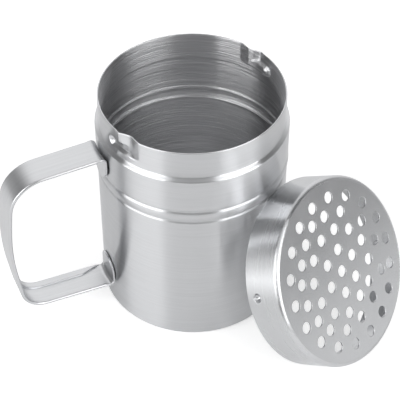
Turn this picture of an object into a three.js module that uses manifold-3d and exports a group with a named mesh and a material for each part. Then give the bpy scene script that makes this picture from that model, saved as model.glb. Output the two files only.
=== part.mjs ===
// A stainless steel spice shaker: a drawn cup whose neck has two pressed bayonet grooves, a handle bent
// from one hemmed strap, and a perforated lid that stands on its rim and leans on the cup.
// Millimetres, +Z up. The origin is the middle of the cup's flat base, and the handle points along -X.

import * as THREE from 'three';
import { mergeVertices } from 'three/addons/utils/BufferGeometryUtils.js';
import Module from 'manifold-3d';

const wasm = await Module();
wasm.setup();

// Driving dimensions of the cup
const bodyRadius = 35;
const cupHeight = 91.3;
const cupSheet = 0.5;
const baseCornerRadius = 2.6;
const neckInset = 1.2;
const neckHeight = 10.8;
const shoulderHeight = 1.6;
const bandRise = 0.2;

// Driving dimensions of the bead rolled round the body, measured down from the rim
const beadDrop = 28.7;
const beadReach = 2.4;
const beadCrestRise = 0.25;
const beadGrooveDepth = 0.45;
const beadGrooveHalfWidth = 1.1;

// Driving dimensions of the two bayonet grooves pressed into the neck
const pocketReachBack = 5.4;
const pocketReachAhead = 4.6;
const grooveRun = 5.3;
const grooveWidth = 3.4;
const grooveDrop = 6.3;
const pressDepth = 1.25;
const pressEdge = 1;
const ridgeRise = 0.3;
const ridgeWidth = 3.6;
const pocketTurnDegrees = 26;

// Driving dimensions of the handle
const strapWidth = 12;
const strapSheet = 0.7;
const hemDepth = 0.7;
const hemWidth = 3.2;
const hemLip = 0.3;
const hemStart = 1.5;
const hemRunout = 7.4;
const hemRiseShare = 0.12;
const handleReach = 74.6;
const upperArmDrop = 4.1;
const upperArmFall = 1.8;
const lowerArmHeight = 11.5;
const lowerArmRise = 0.7;
const upperCornerSetback = 3.3;
const lowerCornerSetback = 4.1;
const gripFullShare = 0.47;
const upperCornerRadius = 14.5;
const lowerCornerRadius = 10;
const gripBowRadius = 100;
const tabBendRadius = 2.2;
const upperTabLength = 11.5;
const lowerTabLength = 11.3;
const tabCurveRun = 10;

// Driving dimensions of the lid
const lidSheet = 0.5;
const lidFit = 0.45;
const lidHeight = 14.9;
const lidCornerRadius = 1.6;
const holeDiameter = 4.2;
const firstRingRadius = 8.1;
const secondRingRadius = 15.7;
const thirdRingRadius = 21.8;
const outerRingRadius = 27.5;
const dimpleDepth = 1.5;
const dimpleRadius = 1.3;
const dimpleTurnDegrees = 160.6;
const holeTurnDegrees = 11;
const leanTiltDegrees = 30.8;
const leanTurnDegrees = -59.8;
const restTurnDegrees = -55.7;

// The gap between pieces that touch, and how far a cutter runs past what it cuts
const seatGap = 0.3;
const overrun = 1;

// How finely round forms are divided
const cupSides = 56;
const pressedSplit = 4;
const lidSides = 72;
const holeSides = 12;
const stationStep = 3;
const arcStepDegrees = 10;

// Places worked out from the sizes above
const shoulderTop = cupHeight - neckHeight;
const shoulderFoot = shoulderTop - shoulderHeight;
const neckRadius = bodyRadius - neckInset;
const beadHeight = cupHeight - beadDrop;
const grooveHeight = cupHeight - grooveDrop;
const widestRadius = bodyRadius + Math.max(bandRise, bandRise / 2 + beadCrestRise);

const radians = THREE.MathUtils.degToRad;

function ramp(value, from, to) {
  return THREE.MathUtils.smoothstep(value, from, to);
}

function bump(share) {
  return Math.abs(share) < 1 ? Math.cos(share * Math.PI / 2) ** 2 : 0;
}

function spread(from, to, steps) {
  return Array.from({ length: steps + 1 }, (_, k) => from + (to - from) * k / steps);
}

// A ring is a closed row of points, each with its place round the ring in turns. Rings are joined one to
// the next, also where one has more points, and a ring of one point closes the end.
function skin(rings) {
  const positions = [];
  const faces = [];
  let first = 0;
  const starts = rings.map((ring) => {
    ring.forEach((entry) => positions.push(...entry.point));
    first += ring.length;
    return first - ring.length;
  });
  for (let k = 0; k + 1 < rings.length; k += 1) {
    joinRings(faces, rings[k], starts[k], rings[k + 1], starts[k + 1]);
  }
  const geometry = new THREE.BufferGeometry();
  geometry.setAttribute('position', new THREE.Float32BufferAttribute(positions, 3));
  geometry.setIndex(faces);
  return geometry;
}

function joinRings(faces, lower, lowerStart, upper, upperStart) {
  const lowerSteps = lower.length > 1 ? lower.length : 0;
  const upperSteps = upper.length > 1 ? upper.length : 0;
  const turnOf = (ring, k) => ring[k % ring.length].turn + Math.floor(k / ring.length);
  let i = 0;
  let j = 0;
  while (i < lowerSteps || j < upperSteps) {
    const lowerNow = lowerStart + (i % lower.length);
    const upperNow = upperStart + (j % upper.length);
    const lowerFirst = j >= upperSteps || turnOf(lower, i + 1) <= turnOf(upper, j + 1);
    if (i < lowerSteps && lowerFirst) {
      faces.push(lowerNow, lowerStart + ((i + 1) % lower.length), upperNow);
      i += 1;
    } else {
      faces.push(lowerNow, upperStart + ((j + 1) % upper.length), upperNow);
      j += 1;
    }
  }
}

function roundRing(turns, height, radiusAt) {
  return turns.map((turn) => {
    const angle = turn * 2 * Math.PI;
    const radius = radiusAt(turn);
    return { turn, point: [radius * Math.cos(angle), radius * Math.sin(angle), height] };
  });
}

function axisPoint(height) {
  return [{ turn: 0, point: [0, 0, height] }];
}

function steelMaterial(color, roughness) {
  return new THREE.MeshStandardMaterial({ color, roughness, metalness: 1 });
}

// Cup: the wall's outer radius at a height, with the bead between its two grooves, the band above it and
// the shoulder where the neck starts
function wallRadius(height) {
  const fromBead = height - beadHeight;
  const band = bandRise * ramp(fromBead, -beadReach, beadReach);
  const neck = (neckInset + bandRise) * ramp(height, shoulderFoot, shoulderTop);
  const crest = beadCrestRise * bump(fromBead / beadReach);
  const upperGroove = bump((fromBead - beadReach) / beadGrooveHalfWidth);
  const lowerGroove = bump((fromBead + beadReach) / beadGrooveHalfWidth);
  return bodyRadius + band - neck + crest - beadGrooveDepth * (upperGroove + lowerGroove);
}

// How deep the neck is pressed in at a place. Each bayonet groove is a pocket open at the rim, deepest in
// its middle, and a round-ended channel that runs on from it, clockwise seen from above. The wall stands
// up in a low ridge between the pocket and the rim above the channel. The two lie half a turn apart.
function pressedIn(turn, height) {
  const fromPocket = (turn - pocketTurnDegrees / 360) * 2;
  const nearest = (fromPocket - Math.round(fromPocket)) / 2;
  const along = -nearest * 2 * Math.PI * neckRadius;
  const halfGroove = grooveWidth / 2;
  const halfEdge = pressEdge / 2;
  const grooveEnd = pocketReachAhead + grooveRun - halfGroove;
  const beside = along - THREE.MathUtils.clamp(along, halfGroove - pocketReachBack, grooveEnd);
  const channel = 1 - ramp(Math.hypot(beside, height - grooveHeight) - halfGroove, -halfEdge, halfEdge);
  const above = ramp(height, grooveHeight, grooveHeight + halfEdge);
  const entry = ramp(along, -pocketReachBack, 0);
  const pocket = above * (1 - ramp(along, 0, pocketReachAhead));
  const ridge = bump((along - pocketReachAhead) * 2 / ridgeWidth) * ramp(height, grooveHeight, cupHeight);
  return pressDepth * entry * Math.max(channel, pocket) - ridgeRise * ridge;
}

// The places round the cup: even steps, each split further where the wall may be pressed in
function cupTurns(split) {
  const step = 1 / cupSides;
  const toSteps = cupSides / (2 * Math.PI * neckRadius);
  const ahead = Math.ceil((pocketReachBack + pressEdge) * toSteps);
  const behind = Math.ceil((pocketReachAhead + grooveRun + pressEdge) * toSteps);
  const turns = [];
  for (let k = 0; k < cupSides; k += 1) {
    const place = (k + behind) % (cupSides / 2);
    const parts = place < ahead + behind ? split : 1;
    for (let part = 0; part < parts; part += 1) {
      turns.push(pocketTurnDegrees / 360 + (k + part / parts) * step);
    }
  }
  return turns;
}

function makeCup() {
  const plainTurns = cupTurns(1);
  const neckTurns = cupTurns(pressedSplit);
  const cornerRing = (angle, radius) => {
    const height = baseCornerRadius - radius * Math.cos(angle);
    const reach = bodyRadius - baseCornerRadius + radius * Math.sin(angle);
    return roundRing(plainTurns, height, () => reach);
  };
  const corner = (radius, steps) => spread(0, Math.PI / 2, steps).map((angle) => cornerRing(angle, radius));
  const plainRing = (height, inset) => roundRing(plainTurns, height, () => wallRadius(height) - inset);
  const neckRing = (height, inset) => roundRing(neckTurns, height,
    (turn) => wallRadius(height) - pressedIn(turn, height) - inset);
  const beadSpan = beadReach + beadGrooveHalfWidth;
  const beadHeights = (steps) => spread(beadHeight - beadSpan, beadHeight + beadSpan, steps);
  const shoulderHeights = (steps) => spread(shoulderFoot, shoulderTop, steps);
  const pressedFoot = grooveHeight - grooveWidth / 2 - pressEdge / 2;
  const neckFoot = Math.max(pressedFoot, shoulderTop + shoulderHeight / 2);
  const neckHeights = [(shoulderTop + neckFoot) / 2, ...spread(neckFoot, cupHeight, 9)];
  const outside = [
    ...corner(baseCornerRadius, 3),
    ...[...beadHeights(8), ...shoulderHeights(3)].map((height) => plainRing(height, 0)),
    ...neckHeights.map((height) => neckRing(height, 0)),
  ];
  const inside = [
    ...corner(baseCornerRadius - cupSheet, 2),
    ...[...beadHeights(6), ...shoulderHeights(2)].map((height) => plainRing(height, cupSheet)),
    ...neckHeights.map((height) => neckRing(height, cupSheet)),
  ];
  const rings = [axisPoint(0), ...outside, ...inside.reverse(), axisPoint(cupSheet)];
  const mesh = new THREE.Mesh(skin(rings), steelMaterial(0xb9bbbe, 0.34));
  mesh.name = 'cup_body';
  return mesh;
}

// A line through corner points in the handle's plane, each inner corner rounded by its own radius.
// Each station has its place and its direction of travel.
function roundedLine(corners, radii) {
  const stations = [];
  const turnTo = (vector, angle) => vector.clone().rotateAround(new THREE.Vector2(), angle);
  const addStraight = (from, to) => {
    const travel = to.clone().sub(from);
    const steps = Math.max(1, Math.ceil(travel.length() / stationStep));
    spread(0, 1, steps).slice(0, -1).forEach((share) => {
      stations.push({ place: from.clone().lerp(to, share), travel: travel.clone().normalize() });
    });
  };
  let from = corners[0];
  for (let k = 1; k + 1 < corners.length; k += 1) {
    const before = corners[k].clone().sub(corners[k - 1]).normalize();
    const after = corners[k + 1].clone().sub(corners[k]).normalize();
    const bend = Math.acos(before.dot(after));
    const tangentLength = radii[k - 1] * Math.tan(bend / 2);
    const arcStart = corners[k].clone().addScaledVector(before, -tangentLength);
    const centre = arcStart.clone().addScaledVector(turnTo(before, Math.PI / 2), radii[k - 1]);
    addStraight(from, arcStart);
    const steps = Math.max(2, Math.ceil(bend / radians(arcStepDegrees)));
    spread(0, bend, steps).slice(0, -1).forEach((angle) => {
      const travel = turnTo(before, angle);
      const place = centre.clone().addScaledVector(turnTo(travel, -Math.PI / 2), radii[k - 1]);
      stations.push({ place, travel });
    });
    from = corners[k].clone().addScaledVector(after, tangentLength);
  }
  const last = corners[corners.length - 1];
  addStraight(from, last);
  stations.push({ place: last.clone(), travel: stations[stations.length - 1].travel.clone() });
  return stations;
}

// The strap's section: across is the place over its width, and out is the place from its outer face,
// which is negative inside the loop. The hem share says how far in the folded edges reach.
function strapSection(width, hemShare) {
  const depth = strapSheet + hemDepth * ramp(hemShare, 0, hemRiseShare);
  const edge = depth / 2;
  const half = width / 2;
  const narrowed = width / strapWidth;
  const folded = Math.max(hemLip, (hemWidth - edge) * hemShare);
  const hemEdge = half - edge - folded * narrowed;
  const web = hemEdge - hemLip * narrowed;
  const outer = spread(edge - half, half - edge, 4).map((across) => [across, 0]);
  const rightEdge = [45, 0, -45].map((degrees) => [
    half - edge + edge * Math.cos(radians(degrees)), edge * Math.sin(radians(degrees)) - edge,
  ]);
  const innerRight = [[half - edge, -depth], [hemEdge, -depth], [web, -strapSheet]];
  const mirrored = (points) => points.map(([across, out]) => [-across, out]).reverse();
  return [
    ...outer, ...rightEdge, ...innerRight, [0, -strapSheet], ...mirrored(innerRight), ...mirrored(rightEdge),
  ];
}

function makeHandle() {
  const upperFace = widestRadius + seatGap;
  const lowerFace = bodyRadius + seatGap;
  const upperArm = shoulderTop - upperArmDrop;
  const gripFull = lowerArmHeight + (upperArm - lowerArmHeight) * gripFullShare;
  const corners = [
    [-upperFace, upperArm - upperTabLength],
    [-upperFace, upperArm],
    [upperCornerSetback - handleReach, upperArm - upperArmFall],
    [-handleReach, gripFull],
    [lowerCornerSetback - handleReach, lowerArmHeight + lowerArmRise],
    [-lowerFace, lowerArmHeight],
    [-lowerFace, lowerArmHeight + lowerTabLength],
  ].map(([x, z]) => new THREE.Vector2(x, z));
  const radii = [tabBendRadius, upperCornerRadius, gripBowRadius, lowerCornerRadius, tabBendRadius];
  const stations = roundedLine(corners, radii);
  const tipRadius = strapWidth / 2;
  const tipShares = [0.03, 0.12, 0.3, 0.6, 1];
  const tips = [corners[0], corners[corners.length - 1]];
  const clearOfTips = stations.filter(({ place }) => tips.every((tip) => place.distanceTo(tip) > tipRadius));
  const tipStations = (tip, way) => tipShares.map((share) => ({
    place: tip.clone().add(new THREE.Vector2(0, way * tipRadius * share)),
    travel: new THREE.Vector2(0, 1),
    width: strapWidth * Math.sqrt(1 - (1 - share) ** 2),
  }));
  const all = [...tipStations(tips[0], 1), ...clearOfTips, ...tipStations(tips[1], -1).reverse()];
  const placePoint = ({ place, travel }, across, out) => {
    const wallFace = place.y > gripFull ? upperFace : lowerFace;
    const fromWall = -place.x - wallFace;
    const hugging = 1 - ramp(fromWall, 0, tabCurveRun);
    const toWall = (wallFace - Math.sqrt(wallFace ** 2 - across ** 2)) * hugging;
    return [place.x + travel.y * out + toWall, across, place.y - travel.x * out];
  };
  const rings = all.map((station) => {
    const fromWall = -station.place.x - upperFace;
    const hemShare = THREE.MathUtils.clamp((fromWall - hemStart) / hemRunout, 0, 1);
    const section = strapSection(station.width ?? strapWidth, hemShare);
    return section.map(([across, out], k) => ({
      turn: k / section.length, point: placePoint(station, across, out),
    }));
  });
  const endPoint = (station) => [{ turn: 0, point: placePoint(station, 0, -strapSheet / 2) }];
  const closed = [endPoint(all[0]), ...rings, endPoint(all[all.length - 1])];
  const mesh = new THREE.Mesh(skin(closed), steelMaterial(0xc6c8ca, 0.3));
  mesh.name = 'strap_handle';
  return mesh;
}

// Solids for cutting and joining
function toSolid(geometry) {
  const bare = geometry.clone();
  bare.deleteAttribute('normal');
  bare.deleteAttribute('uv');
  const merged = mergeVertices(bare, seatGap / 1000);
  const vertProperties = new Float32Array(merged.attributes.position.array);
  const triVerts = new Uint32Array(merged.index.array);
  return new wasm.Manifold(new wasm.Mesh({ numProp: 3, vertProperties, triVerts }));
}

function toGeometry(solid) {
  const { vertProperties, triVerts } = solid.getMesh();
  const geometry = new THREE.BufferGeometry();
  geometry.setAttribute('position', new THREE.Float32BufferAttribute(vertProperties, 3));
  geometry.setIndex(Array.from(triVerts));
  return geometry;
}

const lidRadius = neckRadius + lidFit + lidSheet;

// Lid: the drawn shell, open at the bottom, its face on top
function lidShell() {
  const turns = spread(0, 1, lidSides).slice(0, -1);
  const ring = (radius, height) => roundRing(turns, height, () => radius);
  const corner = (radius, steps) => spread(0, Math.PI / 2, steps).map((angle) => ring(
    lidRadius - lidCornerRadius + radius * Math.cos(angle),
    lidHeight - lidCornerRadius + radius * Math.sin(angle),
  ));
  return skin([
    axisPoint(lidHeight - lidSheet),
    ...corner(lidCornerRadius - lidSheet, 3).reverse(),
    ring(lidRadius - lidSheet, 0),
    ring(lidRadius, 0),
    ...corner(lidCornerRadius, 4),
    axisPoint(lidHeight),
  ]);
}

// One hole of the second ring is punched out of line, and the third ring is uneven: each such hole has
// its place round the lid in turns, and its distance out as a share of its ring's radius
const strayHole = [0.758, 0.875];
const thirdRingShares = [
  [0.037, 0.98], [0.129, 0.99], [0.196, 1], [0.249, 1.04], [0.301, 0.99], [0.356, 0.99], [0.407, 1.01],
  [0.465, 1.01], [0.523, 1], [0.576, 1.01], [0.644, 0.99], [0.714, 0.92], [0.792, 0.92], [0.876, 1.02],
  [0.962, 0.99],
];

// The middle of each hole: one at the centre, then rings of 6, 12, 15 and 18
function holePlaces() {
  const evenRing = (count) => spread(0, 1, count).slice(0, -1).map((turn) => [turn, 1]);
  const secondRing = evenRing(12);
  secondRing[9] = strayHole;
  const rings = [
    [evenRing(1), 0],
    [evenRing(6), firstRingRadius],
    [secondRing, secondRingRadius],
    [thirdRingShares, thirdRingRadius],
    [evenRing(18), outerRingRadius],
  ];
  return rings.flatMap(([places, ringRadius]) => places.map(([turn, share]) => {
    const angle = turn * 2 * Math.PI + radians(holeTurnDegrees);
    const radius = share * ringRadius;
    return new THREE.Vector3(radius * Math.cos(angle), radius * Math.sin(angle), lidHeight);
  }));
}

function holePunch(place) {
  const punch = new THREE.CylinderGeometry(
    holeDiameter / 2, holeDiameter / 2, 2 * (lidSheet + overrun), holeSides,
  );
  punch.rotateX(Math.PI / 2);
  punch.translate(place.x, place.y, place.z);
  return toSolid(punch);
}

// A rounded lump on the skirt, centred at a distance from the lid's axis and pointing at the axis
function skirtLump(distance, depth, radius, turnDegrees) {
  const lump = new THREE.SphereGeometry(1, 14, 10);
  lump.scale(depth, radius, radius);
  lump.translate(distance, 0, neckHeight - grooveDrop);
  lump.rotateZ(radians(turnDegrees));
  return toSolid(lump);
}

// The two dimples are punched inwards, at the height of the cup's grooves when the skirt's edge rests
// on the shoulder
function addDimple(solid, turnDegrees) {
  const middle = lidRadius - lidSheet / 2;
  const core = new THREE.CylinderGeometry(middle, middle, 2 * lidHeight, lidSides);
  core.rotateX(Math.PI / 2);
  const knob = skirtLump(middle, dimpleDepth + lidSheet / 2, dimpleRadius + lidSheet, turnDegrees);
  const hollow = skirtLump(lidRadius, dimpleDepth, dimpleRadius, turnDegrees);
  return solid.add(knob.intersect(toSolid(core))).subtract(hollow);
}

function makeLid() {
  let solid = toSolid(lidShell());
  holePlaces().forEach((place) => {
    solid = solid.subtract(holePunch(place));
  });
  solid = addDimple(solid, dimpleTurnDegrees);
  solid = addDimple(solid, dimpleTurnDegrees + 180);
  const mesh = new THREE.Mesh(toGeometry(solid), steelMaterial(0xb4b6b9, 0.36));
  mesh.name = 'perforated_lid';
  return mesh;
}

// The lid stands on its open rim and leans back until the top of that rim rests on the cup's wall, just
// below the bead and a little to one side of the way that the lid faces
function leanLid(lid) {
  const tilt = radians(leanTiltDegrees);
  const turn = radians(leanTurnDegrees);
  const restTurn = radians(restTurnDegrees);
  const rimTop = 2 * lidRadius * Math.cos(tilt);
  const restRadius = wallRadius(rimTop) + seatGap;
  const away = new THREE.Vector3(Math.cos(turn), Math.sin(turn), 0);
  const up = new THREE.Vector3(0, 0, 1);
  const side = new THREE.Vector3().crossVectors(up, away);
  const axis = away.clone().multiplyScalar(Math.cos(tilt)).addScaledVector(up, Math.sin(tilt));
  const top = new THREE.Vector3().crossVectors(axis, side);
  lid.quaternion.setFromRotationMatrix(new THREE.Matrix4().makeBasis(side, top, axis));
  lid.position.set(restRadius * Math.cos(restTurn), restRadius * Math.sin(restTurn), rimTop);
  lid.position.addScaledVector(top, -lidRadius);
  return lid;
}

const shaker = new THREE.Group();
shaker.add(makeCup(), makeHandle(), leanLid(makeLid()));

export default shaker;
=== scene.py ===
# A stainless steel spice shaker: a drawn cup, a handle bent from one hemmed strap, and a perforated lid
# that stands on its rim and leans on the cup. Metres, +Z up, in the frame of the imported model.

import math

import bpy
from mathutils import Matrix, Vector


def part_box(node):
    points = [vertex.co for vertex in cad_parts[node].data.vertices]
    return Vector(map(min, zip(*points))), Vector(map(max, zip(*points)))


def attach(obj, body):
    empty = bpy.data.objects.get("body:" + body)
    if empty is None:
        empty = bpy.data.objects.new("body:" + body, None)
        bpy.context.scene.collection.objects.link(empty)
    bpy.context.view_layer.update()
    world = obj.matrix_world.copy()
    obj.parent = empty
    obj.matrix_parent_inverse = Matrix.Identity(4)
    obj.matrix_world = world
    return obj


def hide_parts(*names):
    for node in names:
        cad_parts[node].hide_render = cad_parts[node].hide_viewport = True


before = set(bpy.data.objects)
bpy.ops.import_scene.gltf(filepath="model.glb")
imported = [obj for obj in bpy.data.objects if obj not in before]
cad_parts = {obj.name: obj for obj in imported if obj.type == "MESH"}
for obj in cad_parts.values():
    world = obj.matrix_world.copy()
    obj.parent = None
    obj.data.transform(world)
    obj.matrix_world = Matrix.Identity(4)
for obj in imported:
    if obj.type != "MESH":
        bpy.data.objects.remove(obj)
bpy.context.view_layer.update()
bpy.ops.object.select_all(action="DESELECT")
mm = 0.001

# Camera: it looks down into the cup from the front, past the handle on the left and the lid on the right,
# and sees the whole shaker in a square picture.
camera_place = Vector((-149.2, -351.5, 401.8)) * mm
camera_azimuth = -23.42
camera_elevation = 43.63
camera_lens = 124.66
sensor_width = 36

camera_turn = (math.radians(90 - camera_elevation), 0, math.radians(camera_azimuth))
bpy.ops.object.camera_add(location=camera_place, rotation=camera_turn)
camera = bpy.context.object
camera.name = "photo_camera"
camera.data.lens = camera_lens
camera.data.sensor_width = sensor_width
bpy.context.scene.camera = camera

# Cup: one piece of stainless sheet, deep drawn to a flat-bottomed pot. Its wall is rolled to a bead below
# the band, necked in above it, and pressed inwards twice at the rim for the two dimples of the lid.
cup_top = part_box("cup_body")[1].z
cup_radius = 35 * mm
cup_sheet = 0.5 * mm
base_corner = 2.6 * mm
neck_inset = 1.2 * mm
neck_height = 10.8 * mm
shoulder_height = 1.6 * mm
band_rise = 0.2 * mm
bead_drop = 28.7 * mm
bead_reach = 2.4 * mm
crest_rise = 0.25 * mm
bead_groove_depth = 0.38 * mm
bead_groove_half = 1.1 * mm
pocket_back = 5.4 * mm
pocket_ahead = 4.6 * mm
groove_run = 5.3 * mm
groove_width = 3.4 * mm
groove_drop = 6.3 * mm
press_depth = 1.25 * mm
press_edge = 1 * mm
ridge_rise = 0.3 * mm
ridge_width = 3.6 * mm
pocket_turn = math.radians(26)
rim_round = 0.2 * mm

# Counts of sides and of rings, with more rings where the profile bends.
cup_sides = 320
corner_rings = 8
wall_rings = 10
bead_rings = 24
band_rings = 4
shoulder_rings = 8
neck_rings = 24
rim_segments = 3

neck_foot = cup_top - neck_height
shoulder_foot = neck_foot - shoulder_height
neck_radius = cup_radius - neck_inset
bead_height = cup_top - bead_drop
bead_span = bead_reach + bead_groove_half
groove_height = cup_top - groove_drop


def ramp(value, start, end):
    """0 up to a start, 1 from an end on, and a smooth rise between them."""
    share = min(max((value - start) / (end - start), 0), 1)
    return share * share * (3 - 2 * share)


def bump(share):
    """A smooth hump: 1 in its middle, 0 one whole share away from it on both sides."""
    return math.cos(share * math.pi / 2) ** 2 if abs(share) < 1 else 0


def spread(start, end, steps):
    """Evenly spaced values from a start to an end, with both."""
    return [start + (end - start) * k / steps for k in range(steps + 1)]


def wall_radius(height):
    """The cup's outer radius at a height, before the bayonet grooves are pressed in."""
    from_bead = height - bead_height
    grooves = sum(bump((from_bead + side * bead_reach) / bead_groove_half) for side in (-1, 1))
    crest = crest_rise * bump(from_bead / bead_reach)
    band = band_rise * ramp(from_bead, -bead_reach, bead_reach)
    neck = (neck_inset + band_rise) * ramp(height, shoulder_foot, neck_foot)
    return cup_radius + band - neck + crest - bead_groove_depth * grooves


def pressed_in(place):
    """How far the neck is pressed in at a place: a pocket open at the rim, a round-ended channel that runs
    on from it, and a low ridge between the pocket and the rim above the channel."""
    half_turns = (math.atan2(place.y, place.x) - pocket_turn) / math.pi
    along = (round(half_turns) - half_turns) * math.pi * neck_radius
    half_groove = groove_width / 2
    half_edge = press_edge / 2
    groove_end = pocket_ahead + groove_run - half_groove
    beside = along - min(max(along, half_groove - pocket_back), groove_end)
    channel = 1 - ramp(math.hypot(beside, place.z - groove_height) - half_groove, -half_edge, half_edge)
    above = ramp(place.z, groove_height, groove_height + half_edge)
    entry = ramp(along, -pocket_back, 0)
    pocket = above * (1 - ramp(along, 0, pocket_ahead))
    ridge = bump((along - pocket_ahead) * 2 / ridge_width) * ramp(place.z, groove_height, cup_top)
    return press_depth * entry * max(channel, pocket) - ridge_rise * ridge


cup_heights = [
    *spread(base_corner, bead_height - bead_span, wall_rings)[1:],
    *spread(bead_height - bead_span, bead_height + bead_span, bead_rings)[1:],
    *spread(bead_height + bead_span, shoulder_foot, band_rings)[1:],
    *spread(shoulder_foot, neck_foot, shoulder_rings)[1:],
    *spread(neck_foot, cup_top, neck_rings)[1:],
]
cup_profile = [
    (base_corner * (1 - math.cos(angle)), cup_radius - base_corner * (1 - math.sin(angle)))
    for angle in spread(0, math.pi / 2, corner_rings)
]
cup_profile += [(height, wall_radius(height)) for height in cup_heights]


def draw_up(profile):
    """Extrudes the selected ring of edges up a profile, which is a list of a height and a radius each."""
    for (low, inner), (high, outer) in zip(profile, profile[1:]):
        bpy.ops.mesh.extrude_region_move(TRANSFORM_OT_translate={"value": (0, 0, high - low)})
        scale = outer / inner
        bpy.ops.transform.resize(value=(scale, scale, 1), center_override=(0, 0, high))


def make_sheet(piece, thickness):
    """Gives a piece that is a surface its sheet thickness, inwards."""
    sheet = piece.modifiers.new("sheet", "SOLIDIFY")
    sheet.thickness = thickness
    sheet.offset = -1
    sheet.use_even_offset = True
    bpy.ops.object.modifier_apply(modifier=sheet.name)


def round_edges(piece, name, width, segments, limit="ANGLE"):
    """Rounds the sharp edges of a piece, or with the limit WEIGHT the edges that carry a weight."""
    sharp_angle = math.radians(70)
    rounding = piece.modifiers.new(name, "BEVEL")
    rounding.width = width
    rounding.segments = segments
    rounding.limit_method = limit
    rounding.angle_limit = sharp_angle
    bpy.ops.object.modifier_apply(modifier=rounding.name)


def finish_mesh(piece):
    """Smooths the faces of a finished piece and puts its place into its mesh."""
    smooth_angle = math.radians(40)
    bpy.ops.object.shade_smooth_by_angle(angle=smooth_angle)
    even = piece.modifiers.new("even_shading", "WEIGHTED_NORMAL")
    even.keep_sharp = True
    bpy.ops.object.modifier_apply(modifier=even.name)
    bpy.ops.object.transform_apply(location=True, rotation=True, scale=True)
    bpy.ops.object.select_all(action="DESELECT")


bpy.ops.mesh.primitive_circle_add(vertices=cup_sides, radius=cup_profile[0][1], fill_type="TRIFAN")
cup = bpy.context.object
cup.name = "drawn_cup"
bpy.ops.object.mode_set(mode="EDIT")
bpy.ops.mesh.select_mode(type="EDGE")
bpy.ops.mesh.region_to_loop()
draw_up(cup_profile)
bpy.ops.mesh.select_all(action="SELECT")
bpy.ops.mesh.normals_make_consistent(inside=False)
bpy.ops.object.mode_set(mode="OBJECT")

for vertex in cup.data.vertices:
    if vertex.co.z > shoulder_foot:
        narrower = 1 - pressed_in(vertex.co) / vertex.co.xy.length
        vertex.co.x *= narrower
        vertex.co.y *= narrower

make_sheet(cup, cup_sheet)
round_edges(cup, "rolled_rim", rim_round, rim_segments)
finish_mesh(cup)

# The second material is for the inside: the wall's faces that look to the axis, and the base's that look up.
least_upward = 0.5
for face in cup.data.polygons:
    wall_inside = face.normal.xy.dot(face.center.xy) < 0
    base_inside = 0 < face.center.z < base_corner and face.normal.z > least_upward
    face.material_index = 1 if wall_inside or base_inside else 0


def linear(hex_colour):
    """An sRGB hex colour as the linear colour that a shader takes."""
    channels = [int(hex_colour[k:k + 2], 16) / 255 for k in (1, 3, 5)]
    return [c / 12.92 if c <= 0.04045 else ((c + 0.055) / 1.055) ** 2.4 for c in channels] + [1]


def add_node(tree, kind, settings=None, links=None):
    """Adds a node, sets its properties and sockets, and links sockets to the outputs of other nodes."""
    node = tree.nodes.new(kind)
    for name, value in (settings or {}).items():
        if isinstance(name, str) and hasattr(node, name):
            setattr(node, name, value)
        else:
            node.inputs[name].default_value = value
    for name, output in (links or {}).items():
        tree.links.new(output, node.inputs[name])
    return node


def new_material(name):
    material = bpy.data.materials.new(name)
    material.use_nodes = True
    material.node_tree.nodes.clear()
    return material, material.node_tree


# Lathe-polished stainless steel, type 304, of the cup and the lid. A belt held against the spinning piece
# leaves fine lines round its axis, which draw each light out into a band along the axis: the gloss spreads
# most a quarter turn away from the lines. The real lines are finer than the render can show, so they are
# drawn coarser. They are much deeper inside the cup, which is polished less. The noise that draws them
# mostly stays between the two line values.
across_lines = 0.25
line_length = 26 * mm
line_detail = 3
line_contrast = 0.6
fine_spacing = 0.8 * mm
fine_depth = 0.004 * mm
coarse_spacing = 0.6 * mm
coarse_depth = 0.32 * mm
lathe_line_values = (0.35, 0.65)

# A Mix node has the sockets of all its data types. Its two colours are inputs 6 and 7, and give output 2.
# Its two numbers are inputs 2 and 3, and give output 0.
first_colour = 6
second_colour = 7
mixed_colour = 2


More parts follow.
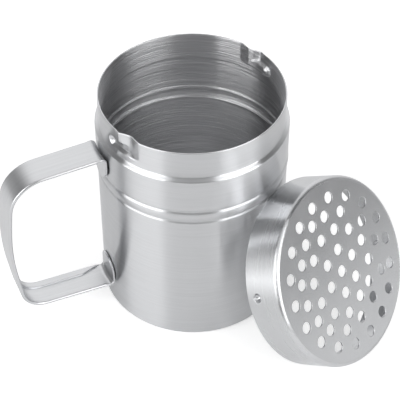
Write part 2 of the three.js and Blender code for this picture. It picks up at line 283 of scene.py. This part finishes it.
def lathe_polished_steel(name, centre, turn, colours, roughness, line_spacing, line_depth):
    """Steel polished round an axis that runs through a centre and is turned away from upright."""
    material, tree = new_material(name)
    place = add_node(tree, "ShaderNodeTexCoord").outputs["Object"]
    own_place = add_node(tree, "ShaderNodeMapping", {
        "vector_type": "TEXTURE", "Location": centre, "Rotation": turn,
    }, {"Vector": place}).outputs["Vector"]
    parts = add_node(tree, "ShaderNodeSeparateXYZ", links={"Vector": own_place}).outputs
    across = add_node(tree, "ShaderNodeVectorMath", {
        "operation": "MULTIPLY", 1: (1, 1, 0),
    }, {0: own_place}).outputs[0]
    reach = add_node(tree, "ShaderNodeVectorMath", {"operation": "LENGTH"}, {0: across}).outputs["Value"]
    along = add_node(tree, "ShaderNodeMath", {"operation": "ADD"}, {0: parts["Z"], 1: reach}).outputs[0]
    lined_place = add_node(tree, "ShaderNodeCombineXYZ", links={
        "X": parts["X"], "Y": parts["Y"], "Z": along,
    }).outputs[0]
    lined_place = add_node(tree, "ShaderNodeVectorMath", {
        "operation": "MULTIPLY", 1: (1 / line_length, 1 / line_length, 1 / line_spacing),
    }, {0: lined_place}).outputs[0]
    lines = add_node(tree, "ShaderNodeTexNoise", {
        "Scale": 1, "Detail": line_detail, "Roughness": line_contrast,
    }, {"Vector": lined_place}).outputs["Fac"]
    tone = add_node(tree, "ShaderNodeMix", {
        "data_type": "RGBA", first_colour: linear(colours[0]), second_colour: linear(colours[1]),
    }, {0: lines}).outputs[mixed_colour]
    rough = add_node(tree, "ShaderNodeMapRange", {
        "From Min": lathe_line_values[0], "From Max": lathe_line_values[1],
        "To Min": roughness[0], "To Max": roughness[1],
    }, {"Value": lines}).outputs[0]
    relief = add_node(tree, "ShaderNodeBump", {
        "Strength": 1, "Distance": line_depth,
    }, {"Height": lines}).outputs[0]
    axis = add_node(tree, "ShaderNodeVectorRotate", {
        "rotation_type": "EULER_XYZ", "Vector": (0, 0, 1), "Rotation": turn,
    }).outputs[0]
    from_centre = add_node(tree, "ShaderNodeVectorMath", {
        "operation": "SUBTRACT", 1: centre,
    }, {0: place}).outputs[0]
    axis_now, out_now = (add_node(tree, "ShaderNodeVectorTransform", {
        "vector_type": "VECTOR", "convert_from": "OBJECT", "convert_to": "WORLD",
    }, {0: direction}).outputs[0] for direction in (axis, from_centre))
    round_way = add_node(tree, "ShaderNodeVectorMath", {
        "operation": "CROSS_PRODUCT",
    }, {0: axis_now, 1: out_now}).outputs[0]
    steel = add_node(tree, "ShaderNodeBsdfPrincipled", {
        "Metallic": 1.0, "Anisotropic": 1.0, "Anisotropic Rotation": across_lines,
    }, {"Base Color": tone, "Roughness": rough, "Normal": relief, "Tangent": round_way}).outputs[0]
    add_node(tree, "ShaderNodeOutputMaterial", links={"Surface": steel})
    return material


cup.data.materials.append(lathe_polished_steel(
    "lathe_polished_cup_steel", centre=(0, 0, 0), turn=(0, 0, 0), colours=("#c8c9cb", "#d6d7d9"),
    roughness=(0.285, 0.29), line_spacing=fine_spacing, line_depth=fine_depth,
))
cup.data.materials.append(lathe_polished_steel(
    "coarse_polished_cup_steel", centre=(0, 0, 0), turn=(0, 0, 0), colours=("#b0b1b4", "#fafafb"),
    roughness=(0.28, 0.31), line_spacing=coarse_spacing, line_depth=coarse_depth,
))
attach(cup, "cup")
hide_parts("cup_body")

# Handle: one strip of stainless sheet with both long edges hemmed, folded flat to the inside so that they
# are smooth to the hand. It is bent round on a former and its two bare ends are spot-welded to the wall.
strap_width = 12 * mm
strap_sheet = 0.7 * mm
hem_depth = 0.7 * mm
hem_width = 3.2 * mm
hem_start = 1.5 * mm
hem_runout = 7.4 * mm
lip_foot = 0.3 * mm
handle_reach = 74.6 * mm
upper_arm_drop = 4.1 * mm
upper_arm_fall = 1.8 * mm
lower_arm_height = 11.5 * mm
lower_arm_rise = 0.7 * mm
upper_setback = 3.3 * mm
lower_setback = 4.1 * mm
grip_full_share = 0.47
bend_radii = [2.2 * mm, 14.5 * mm, 100 * mm, 10 * mm, 2.2 * mm]
upper_tab = 11.5 * mm
lower_tab = 11.3 * mm
tab_curve_run = 10 * mm
seat_gap = 0.3 * mm
strap_step = 0.8 * mm
bend_step = math.radians(2)
least_bend_steps = 4
tip_steps = 10
edge_steps = 8

# The hem has its full depth from a share of its width on, and its lip is rounded by shares of that depth.
hem_lift_share = 0.12
lip_round = 0.4
lip_round_middle = 0.12

widest_radius = cup_radius + band_rise / 2 + crest_rise
upper_face = widest_radius + seat_gap
lower_face = cup_radius + seat_gap
upper_arm = neck_foot - upper_arm_drop
grip_full = lower_arm_height + (upper_arm - lower_arm_height) * grip_full_share
strap_corners = [Vector(corner) for corner in (
    (-upper_face, upper_arm - upper_tab),
    (-upper_face, upper_arm),
    (upper_setback - handle_reach, upper_arm - upper_arm_fall),
    (-handle_reach, grip_full),
    (lower_setback - handle_reach, lower_arm_height + lower_arm_rise),
    (-lower_face, lower_arm_height),
    (-lower_face, lower_arm_height + lower_tab),
)]


def rounded_line(corners, radii):
    """The points of a line through corners. Each corner between the ends is turned to the left in an arc."""
    points = [corners[0]]
    for before, corner, after, radius in zip(corners, corners[1:], corners[2:], radii):
        way_in = (corner - before).normalized()
        way_out = (after - corner).normalized()
        bend = way_in.angle(way_out)
        centre = corner - way_in * radius * math.tan(bend / 2) + Vector((-way_in.y, way_in.x)) * radius
        for angle in spread(0, bend, max(least_bend_steps, math.ceil(bend / bend_step))):
            points.append(centre + Matrix.Rotation(angle, 2) @ Vector((way_in.y, -way_in.x)) * radius)
    return points + [corners[-1]]


def hemmed_section(share):
    """Half of the strap's section, from the middle of its outer face round the edge to the middle of its
    inner face. Each point has a place across and a depth. The share says how much of the hem is there."""
    rise = hem_depth * ramp(share, 0, hem_lift_share)
    depth = strap_sheet + rise
    edge = depth / 2
    half = strap_width / 2
    lip = half - edge - (hem_width - edge) * share
    points = [(half - edge, 0)]
    for angle in spread(0, math.pi, edge_steps)[1:]:
        points.append((half - edge + edge * math.sin(angle), edge - edge * math.cos(angle)))
    points.append((lip + rise * lip_round, depth))
    points.append((lip + rise * lip_round_middle, depth - rise * lip_round_middle))
    points.append((lip, depth - rise * lip_round))
    points.append((lip, strap_sheet))
    points.append((lip - lip_foot, strap_sheet))
    return points


def strap_section(share):
    """The strap's whole section, as a closed ring of points."""
    half = hemmed_section(share)
    return half + [(0, strap_sheet)] + [(-across, depth) for across, depth in reversed(half)] + [(0, 0)]


strap_line = rounded_line(strap_corners, bend_radii)
strap_length = sum((end - start).length for start, end in zip(strap_line, strap_line[1:]))
section_size = len(strap_section(1))
tip_radius = strap_width / 2
tip_places = [tip_radius * (1 - math.cos(angle)) for angle in spread(0, math.pi / 2, tip_steps)][1:]
strap_steps = math.ceil((strap_length - 2 * tip_radius) / strap_step)
strap_places = tip_places + spread(tip_radius, strap_length - tip_radius, strap_steps)[1:-1]
strap_places += [strap_length - place for place in reversed(tip_places)]

# The strip is extruded straight, along X. Each vertex keeps its number in the section, by which it then
# takes its place, and the two ends are narrowed to round tips.
bpy.ops.mesh.primitive_circle_add(vertices=section_size, radius=tip_radius, rotation=(0, math.pi / 2, 0))
handle = bpy.context.object
handle.name = "hemmed_strap_handle"
bpy.ops.object.transform_apply(location=True, rotation=True, scale=True)
numbered = handle.data.attributes.new("place_in_section", "INT", "POINT")
numbered.data.foreach_set("value", range(section_size))
bpy.ops.object.mode_set(mode="EDIT")
bpy.ops.transform.translate(value=(strap_places[0], 0, 0))
bpy.ops.mesh.edge_face_add()
bpy.ops.mesh.select_mode(type="EDGE")
for start, end in zip(strap_places, strap_places[1:]):
    bpy.ops.mesh.extrude_region_move(TRANSFORM_OT_translate={"value": (end - start, 0, 0)})
bpy.ops.object.mode_set(mode="OBJECT")

place_in_section = [entry.value for entry in handle.data.attributes["place_in_section"].data]
sections = {}
for vertex in handle.data.vertices:
    place = vertex.co.x
    from_bends = min(place - upper_tab, strap_length - place - lower_tab)
    share = min(max((from_bends - hem_start) / hem_runout, 0), 1)
    if share not in sections:
        sections[share] = strap_section(share)
    across, depth = sections[share][place_in_section[vertex.index]]
    from_tip = min(place, strap_length - place, tip_radius)
    narrowing = math.sqrt(1 - (1 - from_tip / tip_radius) ** 2)
    vertex.co = (place, depth, across * narrowing)
bpy.ops.object.mode_set(mode="EDIT")
bpy.ops.mesh.select_all(action="DESELECT")
bpy.ops.mesh.select_non_manifold()
bpy.ops.mesh.edge_face_add()
bpy.ops.mesh.select_all(action="SELECT")
bpy.ops.mesh.normals_make_consistent(inside=False)
bpy.ops.object.mode_set(mode="OBJECT")

# The strip is bent round a former, and its tabs and the roots of its arms are curved to hug the round wall.
former_line = bpy.data.curves.new("handle_former", "CURVE")
former_line.dimensions = "2D"
spline = former_line.splines.new("POLY")
spline.points.add(len(strap_line) - 1)
for point, place in zip(spline.points, strap_line):
    point.co = (place.x, place.y, 0, 1)
former = bpy.data.objects.new("handle_former", former_line)
bpy.context.scene.collection.objects.link(former)
bent = handle.modifiers.new("bent_on_former", "CURVE")
bent.object = former
bent.deform_axis = "POS_X"
bpy.ops.object.modifier_apply(modifier=bent.name)
bpy.data.objects.remove(former)
handle.rotation_euler = (math.pi / 2, 0, 0)
bpy.ops.object.transform_apply(location=True, rotation=True, scale=True)
for vertex in handle.data.vertices:
    wall_face = upper_face if vertex.co.z > grip_full else lower_face
    hugging = 1 - ramp(-vertex.co.x - wall_face, 0, tab_curve_run)
    vertex.co.x += (wall_face - math.sqrt(wall_face ** 2 - vertex.co.y ** 2)) * hugging
finish_mesh(handle)

# Satin stainless steel: the strip is brushed lengthwise before it is hemmed, and lightly polished over, so
# that its lines hardly show and it mirrors the room softly. Its lines too are drawn coarser than they are.
brush_line_spacing = 0.6 * mm
brush_line_length = 30 * mm
brush_relief_depth = 0.02 * mm
brush_relief_strength = 0.1
strap_cloud_size = 14 * mm
strap_cloud_detail = 2
cloud_values = (0.3, 0.7)
strap_roughness = (0.28, 0.36)


def brushed_strap_steel(name):
    material, tree = new_material(name)
    place = add_node(tree, "ShaderNodeTexCoord").outputs["Object"]
    lined_place = add_node(tree, "ShaderNodeVectorMath", {
        "operation": "MULTIPLY", 1: (1 / brush_line_length, 1 / brush_line_spacing, 1 / brush_line_length),
    }, {0: place}).outputs[0]
    lines = add_node(tree, "ShaderNodeTexNoise", {
        "Scale": 1, "Detail": line_detail, "Roughness": line_contrast,
    }, {"Vector": lined_place}).outputs["Fac"]
    cloud = add_node(tree, "ShaderNodeTexNoise", {
        "Scale": 1 / strap_cloud_size, "Detail": strap_cloud_detail,
    }, {"Vector": place}).outputs["Fac"]
    tone = add_node(tree, "ShaderNodeMix", {
        "data_type": "RGBA", first_colour: linear("#c3c4c6"), second_colour: linear("#d6d7d9"),
    }, {0: lines}).outputs[mixed_colour]
    rough = add_node(tree, "ShaderNodeMapRange", {
        "From Min": cloud_values[0], "From Max": cloud_values[1],
        "To Min": strap_roughness[0], "To Max": strap_roughness[1],
    }, {"Value": cloud}).outputs[0]
    relief = add_node(tree, "ShaderNodeBump", {
        "Strength": brush_relief_strength, "Distance": brush_relief_depth,
    }, {"Height": lines}).outputs[0]
    steel = add_node(tree, "ShaderNodeBsdfPrincipled", {
        "Metallic": 1.0,
    }, {"Base Color": tone, "Roughness": rough, "Normal": relief}).outputs[0]
    add_node(tree, "ShaderNodeOutputMaterial", links={"Surface": steel})
    return material


handle.data.materials.append(brushed_strap_steel("brushed_strap_steel"))
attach(handle, "cup")
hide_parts("strap_handle")

# Lid: a shallow drawn cap of the same sheet, punched with rings of holes and dimpled twice in its skirt. It
# stands on its open rim and leans back against the cup, its face turned up and to the front right.
lid_sheet = 0.5 * mm
lid_fit = 0.45 * mm
lid_radius = neck_radius + lid_fit + lid_sheet
lid_height = 14.9 * mm
lid_corner = 1.6 * mm
hole_radius = 2.1 * mm
hole_edge = 0.42 * mm
sheet_edge = 0.06 * mm
punch_length = 4 * lid_sheet
dimple_turn = math.radians(160.6)
dimple_depth = 1.5 * mm
dimple_radius = 1.15 * mm
lean_tilt = math.radians(30.8)
lean_turn = math.radians(-59.8)
rest_turn = math.radians(-55.7)

lid_sides = 256
skirt_rings = 16
lid_corner_rings = 10
hole_sides = 40
hole_edge_segments = 4
sheet_edge_segments = 2

# Each ring of holes has a radius, and each hole a place round its ring, in turns, and a share of that
# radius. The real holes of the third ring and one of the second are unevenly spaced.
hole_turn = math.radians(11)
ring_radii = [8.1 * mm, 15.7 * mm, 21.8 * mm, 27.5 * mm]
stray_hole = (0.758, 0.875)
first_ring = [(k / 6, 1) for k in range(6)]
second_ring = [(k / 12, 1) for k in range(12)]
second_ring[9] = stray_hole
third_ring = [
    (0.037, 0.98), (0.129, 0.99), (0.196, 1), (0.249, 1.04), (0.301, 0.99), (0.356, 0.99), (0.407, 1.01),
    (0.465, 1.01), (0.523, 1), (0.576, 1.01), (0.644, 0.99), (0.714, 0.92), (0.792, 0.92), (0.876, 1.02),
    (0.962, 0.99),
]
fourth_ring = [(k / 18, 1) for k in range(18)]
hole_places = [(0, 0)]
for ring, ring_radius in zip((first_ring, second_ring, third_ring, fourth_ring), ring_radii):
    hole_places += [(turn, share * ring_radius) for turn, share in ring]

corner_centre = lid_radius - lid_corner
lid_profile = [(height, lid_radius) for height in spread(0, lid_height - lid_corner, skirt_rings)]
for angle in spread(0, math.pi / 2, lid_corner_rings)[1:]:
    height = lid_height - lid_corner * (1 - math.sin(angle))
    lid_profile.append((height, corner_centre + lid_corner * math.cos(angle)))
bpy.ops.mesh.primitive_circle_add(vertices=lid_sides, radius=lid_radius, fill_type="NOTHING")
lid = bpy.context.object
lid.name = "punched_lid"
bpy.ops.object.mode_set(mode="EDIT")
bpy.ops.mesh.select_mode(type="EDGE")
draw_up(lid_profile)
bpy.ops.mesh.edge_face_add()
bpy.ops.mesh.select_all(action="SELECT")
bpy.ops.mesh.normals_make_consistent(inside=False)
bpy.ops.object.mode_set(mode="OBJECT")

# Dimples: each is pressed with a ball-ended punch, and its edge runs out softly. The ends of the ball and of
# the edge are shares of the ball's radius. The skirt is subdivided twice round each dimple.
ball_radius = 1.25 * dimple_radius
ball_end = 0.8
ball_end_depth = math.sqrt(1 - ball_end ** 2)
dimple_end = 1.3
patch_reaches = (3 * dimple_radius, 2.2 * dimple_radius)
dimple_height = neck_height - groove_drop
dimple_turns = (dimple_turn, dimple_turn + math.pi)


def dimple_share(place, turn):
    """How deep the skirt is dimpled at a place, as a share of the whole depth."""
    angle = math.atan2(place.y, place.x) - turn
    along = math.remainder(angle, 2 * math.pi) * lid_radius
    away = math.hypot(along, place.z - dimple_height) / ball_radius
    if away < ball_end:
        return math.sqrt(1 - away * away)
    return ball_end_depth * (1 - ramp(away, ball_end, dimple_end))


def near_dimple(place, reach):
    """Whether a place on the skirt is within a reach of the middle of a dimple."""
    spots = [Vector((lid_radius * math.cos(turn), lid_radius * math.sin(turn), dimple_height))
             for turn in dimple_turns]
    return min((place - spot).length for spot in spots) < reach


for patch_reach in patch_reaches:
    bpy.ops.object.mode_set(mode="EDIT")
    bpy.ops.mesh.select_mode(type="FACE")
    bpy.ops.mesh.select_all(action="DESELECT")
    bpy.ops.object.mode_set(mode="OBJECT")
    for face in lid.data.polygons:
        face.select = near_dimple(face.center, patch_reach)
    bpy.ops.object.mode_set(mode="EDIT")
    bpy.ops.mesh.subdivide(number_cuts=2)
    bpy.ops.object.mode_set(mode="OBJECT")

dented = lid.vertex_groups.new(name="dimpled")
for vertex in lid.data.vertices:
    share = max(dimple_share(vertex.co, turn) for turn in dimple_turns)
    if share > 0 and vertex.co.z < lid_height - lid_corner:
        dented.add([vertex.index], share, "REPLACE")
dent = lid.modifiers.new("dimple", "DISPLACE")
dent.vertex_group = dented.name
dent.mid_level = 0
dent.strength = -dimple_depth
bpy.ops.object.modifier_apply(modifier=dent.name)
make_sheet(lid, lid_sheet)
bpy.ops.object.select_all(action="DESELECT")

# Holes: all are punched out at once. The punch draws the sheet's face down round each hole, so the upper
# edge of a hole is rounded widely and every other edge of the sheet only a little.
punches = []
for turn, reach in hole_places:
    angle = turn * 2 * math.pi + hole_turn
    spot = (reach * math.cos(angle), reach * math.sin(angle), lid_height)
    bpy.ops.mesh.primitive_cylinder_add(
        vertices=hole_sides, radius=hole_radius, depth=punch_length, location=spot,
    )
    punches.append(bpy.context.object)
for punch in punches:
    punch.select_set(True)
bpy.context.view_layer.objects.active = punches[0]
bpy.ops.object.join()
punch_set = bpy.context.object
bpy.ops.object.select_all(action="DESELECT")
lid.select_set(True)
bpy.context.view_layer.objects.active = lid
cut = lid.modifiers.new("punch", "BOOLEAN")
cut.object = punch_set
cut.solver = "EXACT"
bpy.ops.object.modifier_apply(modifier=cut.name)
bpy.data.objects.remove(punch_set)

# The upper edges of the holes are found by their height and length, with a tenth of slack.
slack = 1.1
hole_side = 2 * hole_radius * math.sin(math.pi / hole_sides)
drawn_down = lid.data.attributes.new("bevel_weight_edge", "FLOAT", "EDGE")
for edge, weight in zip(lid.data.edges, drawn_down.data):
    start, end = (lid.data.vertices[k].co for k in edge.vertices)
    on_face = min(start.z, end.z) > lid_height - lid_sheet / 2
    weight.value = 1 if on_face and (end - start).length < slack * hole_side else 0
round_edges(lid, "hole_edge", hole_edge, hole_edge_segments, limit="WEIGHT")
round_edges(lid, "sheet_edge", sheet_edge, sheet_edge_segments)

# The second material is for the flat face, with the sides of its holes. The rounded edge and the skirt keep
# the first.
for face in lid.data.polygons:
    in_sheet = face.center.z > lid_height - slack * lid_sheet
    face.material_index = 1 if in_sheet and face.center.xy.length < corner_centre else 0

# The lid leans with the top of its rim on the cup's wall, and its centre is one radius down from there.
lean_away = Vector((math.cos(lean_turn), math.sin(lean_turn), 0))
lean_up = Vector((0, 0, 1))
lean_side = lean_up.cross(lean_away)
lid_axis = lean_away * math.cos(lean_tilt) + lean_up * math.sin(lean_tilt)
rim_up = lid_axis.cross(lean_side)
lean_matrix = Matrix((lean_side, rim_up, lid_axis)).transposed()
rim_top = 2 * lid_radius * math.cos(lean_tilt)
rest_radius = wall_radius(rim_top) + seat_gap
lid_centre = Vector((rest_radius * math.cos(rest_turn), rest_radius * math.sin(rest_turn), rim_top))
lid_centre -= rim_up * lid_radius
lid.matrix_world = Matrix.Translation(lid_centre) @ lean_matrix.to_4x4()
finish_mesh(lid)
lid.data.materials.append(lathe_polished_steel(
    "lathe_polished_lid_steel", centre=lid_centre, turn=lean_matrix.to_euler(),
    colours=("#c4c5c7", "#d4d5d7"), roughness=(0.265, 0.275), line_spacing=fine_spacing,
    line_depth=fine_depth,
))

# Mill-finish stainless steel: the lid's flat face keeps the plain bright finish of the sheet as it was
# rolled. It has no lines, only a faint cloudiness, and shows the room softly.
face_cloud_size = 9 * mm
face_cloud_detail = 3
face_roughness = (0.21, 0.25)


def mill_finish_steel(name):
    material, tree = new_material(name)
    place = add_node(tree, "ShaderNodeTexCoord").outputs["Object"]
    cloud = add_node(tree, "ShaderNodeTexNoise", {
        "Scale": 1 / face_cloud_size, "Detail": face_cloud_detail,
    }, {"Vector": place}).outputs["Fac"]
    rough = add_node(tree, "ShaderNodeMapRange", {
        "From Min": cloud_values[0], "From Max": cloud_values[1],
        "To Min": face_roughness[0], "To Max": face_roughness[1],
    }, {"Value": cloud}).outputs[0]
    steel = add_node(tree, "ShaderNodeBsdfPrincipled", {
        "Metallic": 1.0, "Base Color": linear("#c6c7c9"),
    }, {"Roughness": rough}).outputs[0]
    add_node(tree, "ShaderNodeOutputMaterial", links={"Surface": steel})
    return material


lid.data.materials.append(mill_finish_steel("mill_finish_lid_steel"))
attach(lid, "lid")
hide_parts("perforated_lid")

# Floor: one sheet of plain white studio paper, lifted to white for the camera and a little for the steel,
# so that it shows no edge against the background and keeps the soft shadow of the shaker.
floor_size = 1.15
paper_lift_seen = 0.42
paper_lift_mirrored = 0.15


def seen_and_mirrored(tree):
    """Two outputs: 1 where the camera sees a surface, also through glass, and 1 where a gloss mirrors it."""
    rays = add_node(tree, "ShaderNodeLightPath").outputs
    seen = add_node(tree, "ShaderNodeMath", {"operation": "MAXIMUM"}, {
        0: rays["Is Camera Ray"], 1: rays["Is Transmission Ray"],
    }).outputs[0]
    return seen, rays["Is Glossy Ray"]


def white_paper(name):
    material, tree = new_material(name)
    seen, mirrored = seen_and_mirrored(tree)
    lift = add_node(tree, "ShaderNodeMath", {
        "operation": "MULTIPLY", 1: paper_lift_seen,
    }, {0: seen}).outputs[0]
    lift = add_node(tree, "ShaderNodeMath", {
        "operation": "MULTIPLY_ADD", 1: paper_lift_mirrored,
    }, {0: mirrored, 2: lift}).outputs[0]
    paper = add_node(tree, "ShaderNodeBsdfDiffuse", {"Color": linear("#fafafa")}).outputs[0]
    glow = add_node(tree, "ShaderNodeEmission", links={"Strength": lift}).outputs[0]
    lifted = add_node(tree, "ShaderNodeAddShader", links={0: paper, 1: glow}).outputs[0]
    add_node(tree, "ShaderNodeOutputMaterial", links={"Surface": lifted})
    return material


bpy.ops.mesh.primitive_plane_add(size=floor_size)
floor = bpy.context.object
floor.name = "studio_floor"
floor.data.materials.append(white_paper("white_paper"))

# Studio room: white to the camera, and half as bright where it lights plain surfaces. What steel mirrors
# changes with the heading, counted from the camera to both sides, and with the height, which is the upward
# part of a direction of length 1: a dark gap between the soft boxes, dark sides past them, a white back.
even_level = 0.5
gap_edge = (math.radians(28), math.radians(31))
gap_heights = (0.45, 0.85)
gap_levels = (0.26, 0.6)
box_edge = (math.radians(74), math.radians(80))
side_heights = (0.15, 0.5)
side_levels = (0.42, 0.1)
back_edge = (math.radians(112), math.radians(138))
back_level = 1.15

world = bpy.data.worlds.new("studio")
bpy.context.scene.world = world
world.use_nodes = True
world.node_tree.nodes.clear()
room = world.node_tree


def room_level(place, span, levels):
    """A brightness that goes from one level to another over a span of an output, such as the heading."""
    return add_node(room, "ShaderNodeMapRange", {
        "From Min": span[0], "From Max": span[1], "To Min": levels[0], "To Max": levels[1],
    }, {"Value": place}).outputs[0]


toward = add_node(room, "ShaderNodeTexCoord").outputs["Generated"]
toward = add_node(room, "ShaderNodeVectorRotate", {
    "rotation_type": "Z_AXIS", "Angle": math.radians(90 - camera_azimuth),
}, {"Vector": toward}).outputs[0]
toward = add_node(room, "ShaderNodeSeparateXYZ", links={0: toward}).outputs
heading = add_node(room, "ShaderNodeMath", {
    "operation": "ARCTAN2",
}, {0: toward["Y"], 1: toward["X"]}).outputs[0]
heading = add_node(room, "ShaderNodeMath", {"operation": "ABSOLUTE"}, {0: heading}).outputs[0]

front = add_node(room, "ShaderNodeMath", {"operation": "MAXIMUM"}, {
    0: room_level(heading, gap_edge, (0, 1)), 1: room_level(toward["Z"], gap_heights, gap_levels),
}).outputs[0]
side = add_node(room, "ShaderNodeMath", {"operation": "MAXIMUM"}, {
    0: room_level(heading, box_edge, (1, 0)), 1: room_level(toward["Z"], side_heights, side_levels),
}).outputs[0]
side = add_node(room, "ShaderNodeMath", {"operation": "MAXIMUM"}, {
    0: side, 1: room_level(heading, back_edge, (0, back_level)),
}).outputs[0]
steel_level = add_node(room, "ShaderNodeMath", {"operation": "MULTIPLY"}, {0: front, 1: side}).outputs[0]
room_seen, room_mirrored = seen_and_mirrored(room)
plain_level = room_level(room_seen, (0, 1), (even_level, 1))
level = add_node(room, "ShaderNodeMix", {"data_type": "FLOAT"}, {
    0: room_mirrored, 2: plain_level, 3: steel_level,
}).outputs[0]
sky = add_node(room, "ShaderNodeBackground", {"Color": (1, 1, 1, 1)}, {"Strength": level}).outputs[0]
add_node(room, "ShaderNodeOutputWorld", links={"Surface": sky})

# Lights: two large square soft boxes at the same height, one on each side of the camera, turned to the
# shaker. They give the steel its two bright bands and the floor its soft shadow.
light_turns = {"left_softbox": -53, "right_softbox": 53}
light_distance = 1.0
light_height = 0.52
light_width = 0.9
light_power = 5.7
for name, light_turn in light_turns.items():
    angle = math.radians(camera_azimuth - 90 + light_turn)
    spot = Vector((math.cos(angle), math.sin(angle), 0)) * light_distance + Vector((0, 0, light_height))
    bpy.ops.object.light_add(type="AREA", location=spot)
    softbox = bpy.context.object
    softbox.name = name
    softbox.data.shape = "SQUARE"
    softbox.data.size = light_width
    softbox.data.energy = light_power
    softbox.rotation_euler = (-spot).to_track_quat("-Z", "Y").to_euler()
    softbox.visible_camera = False

bpy.context.scene.view_settings.view_transform = "Standard"
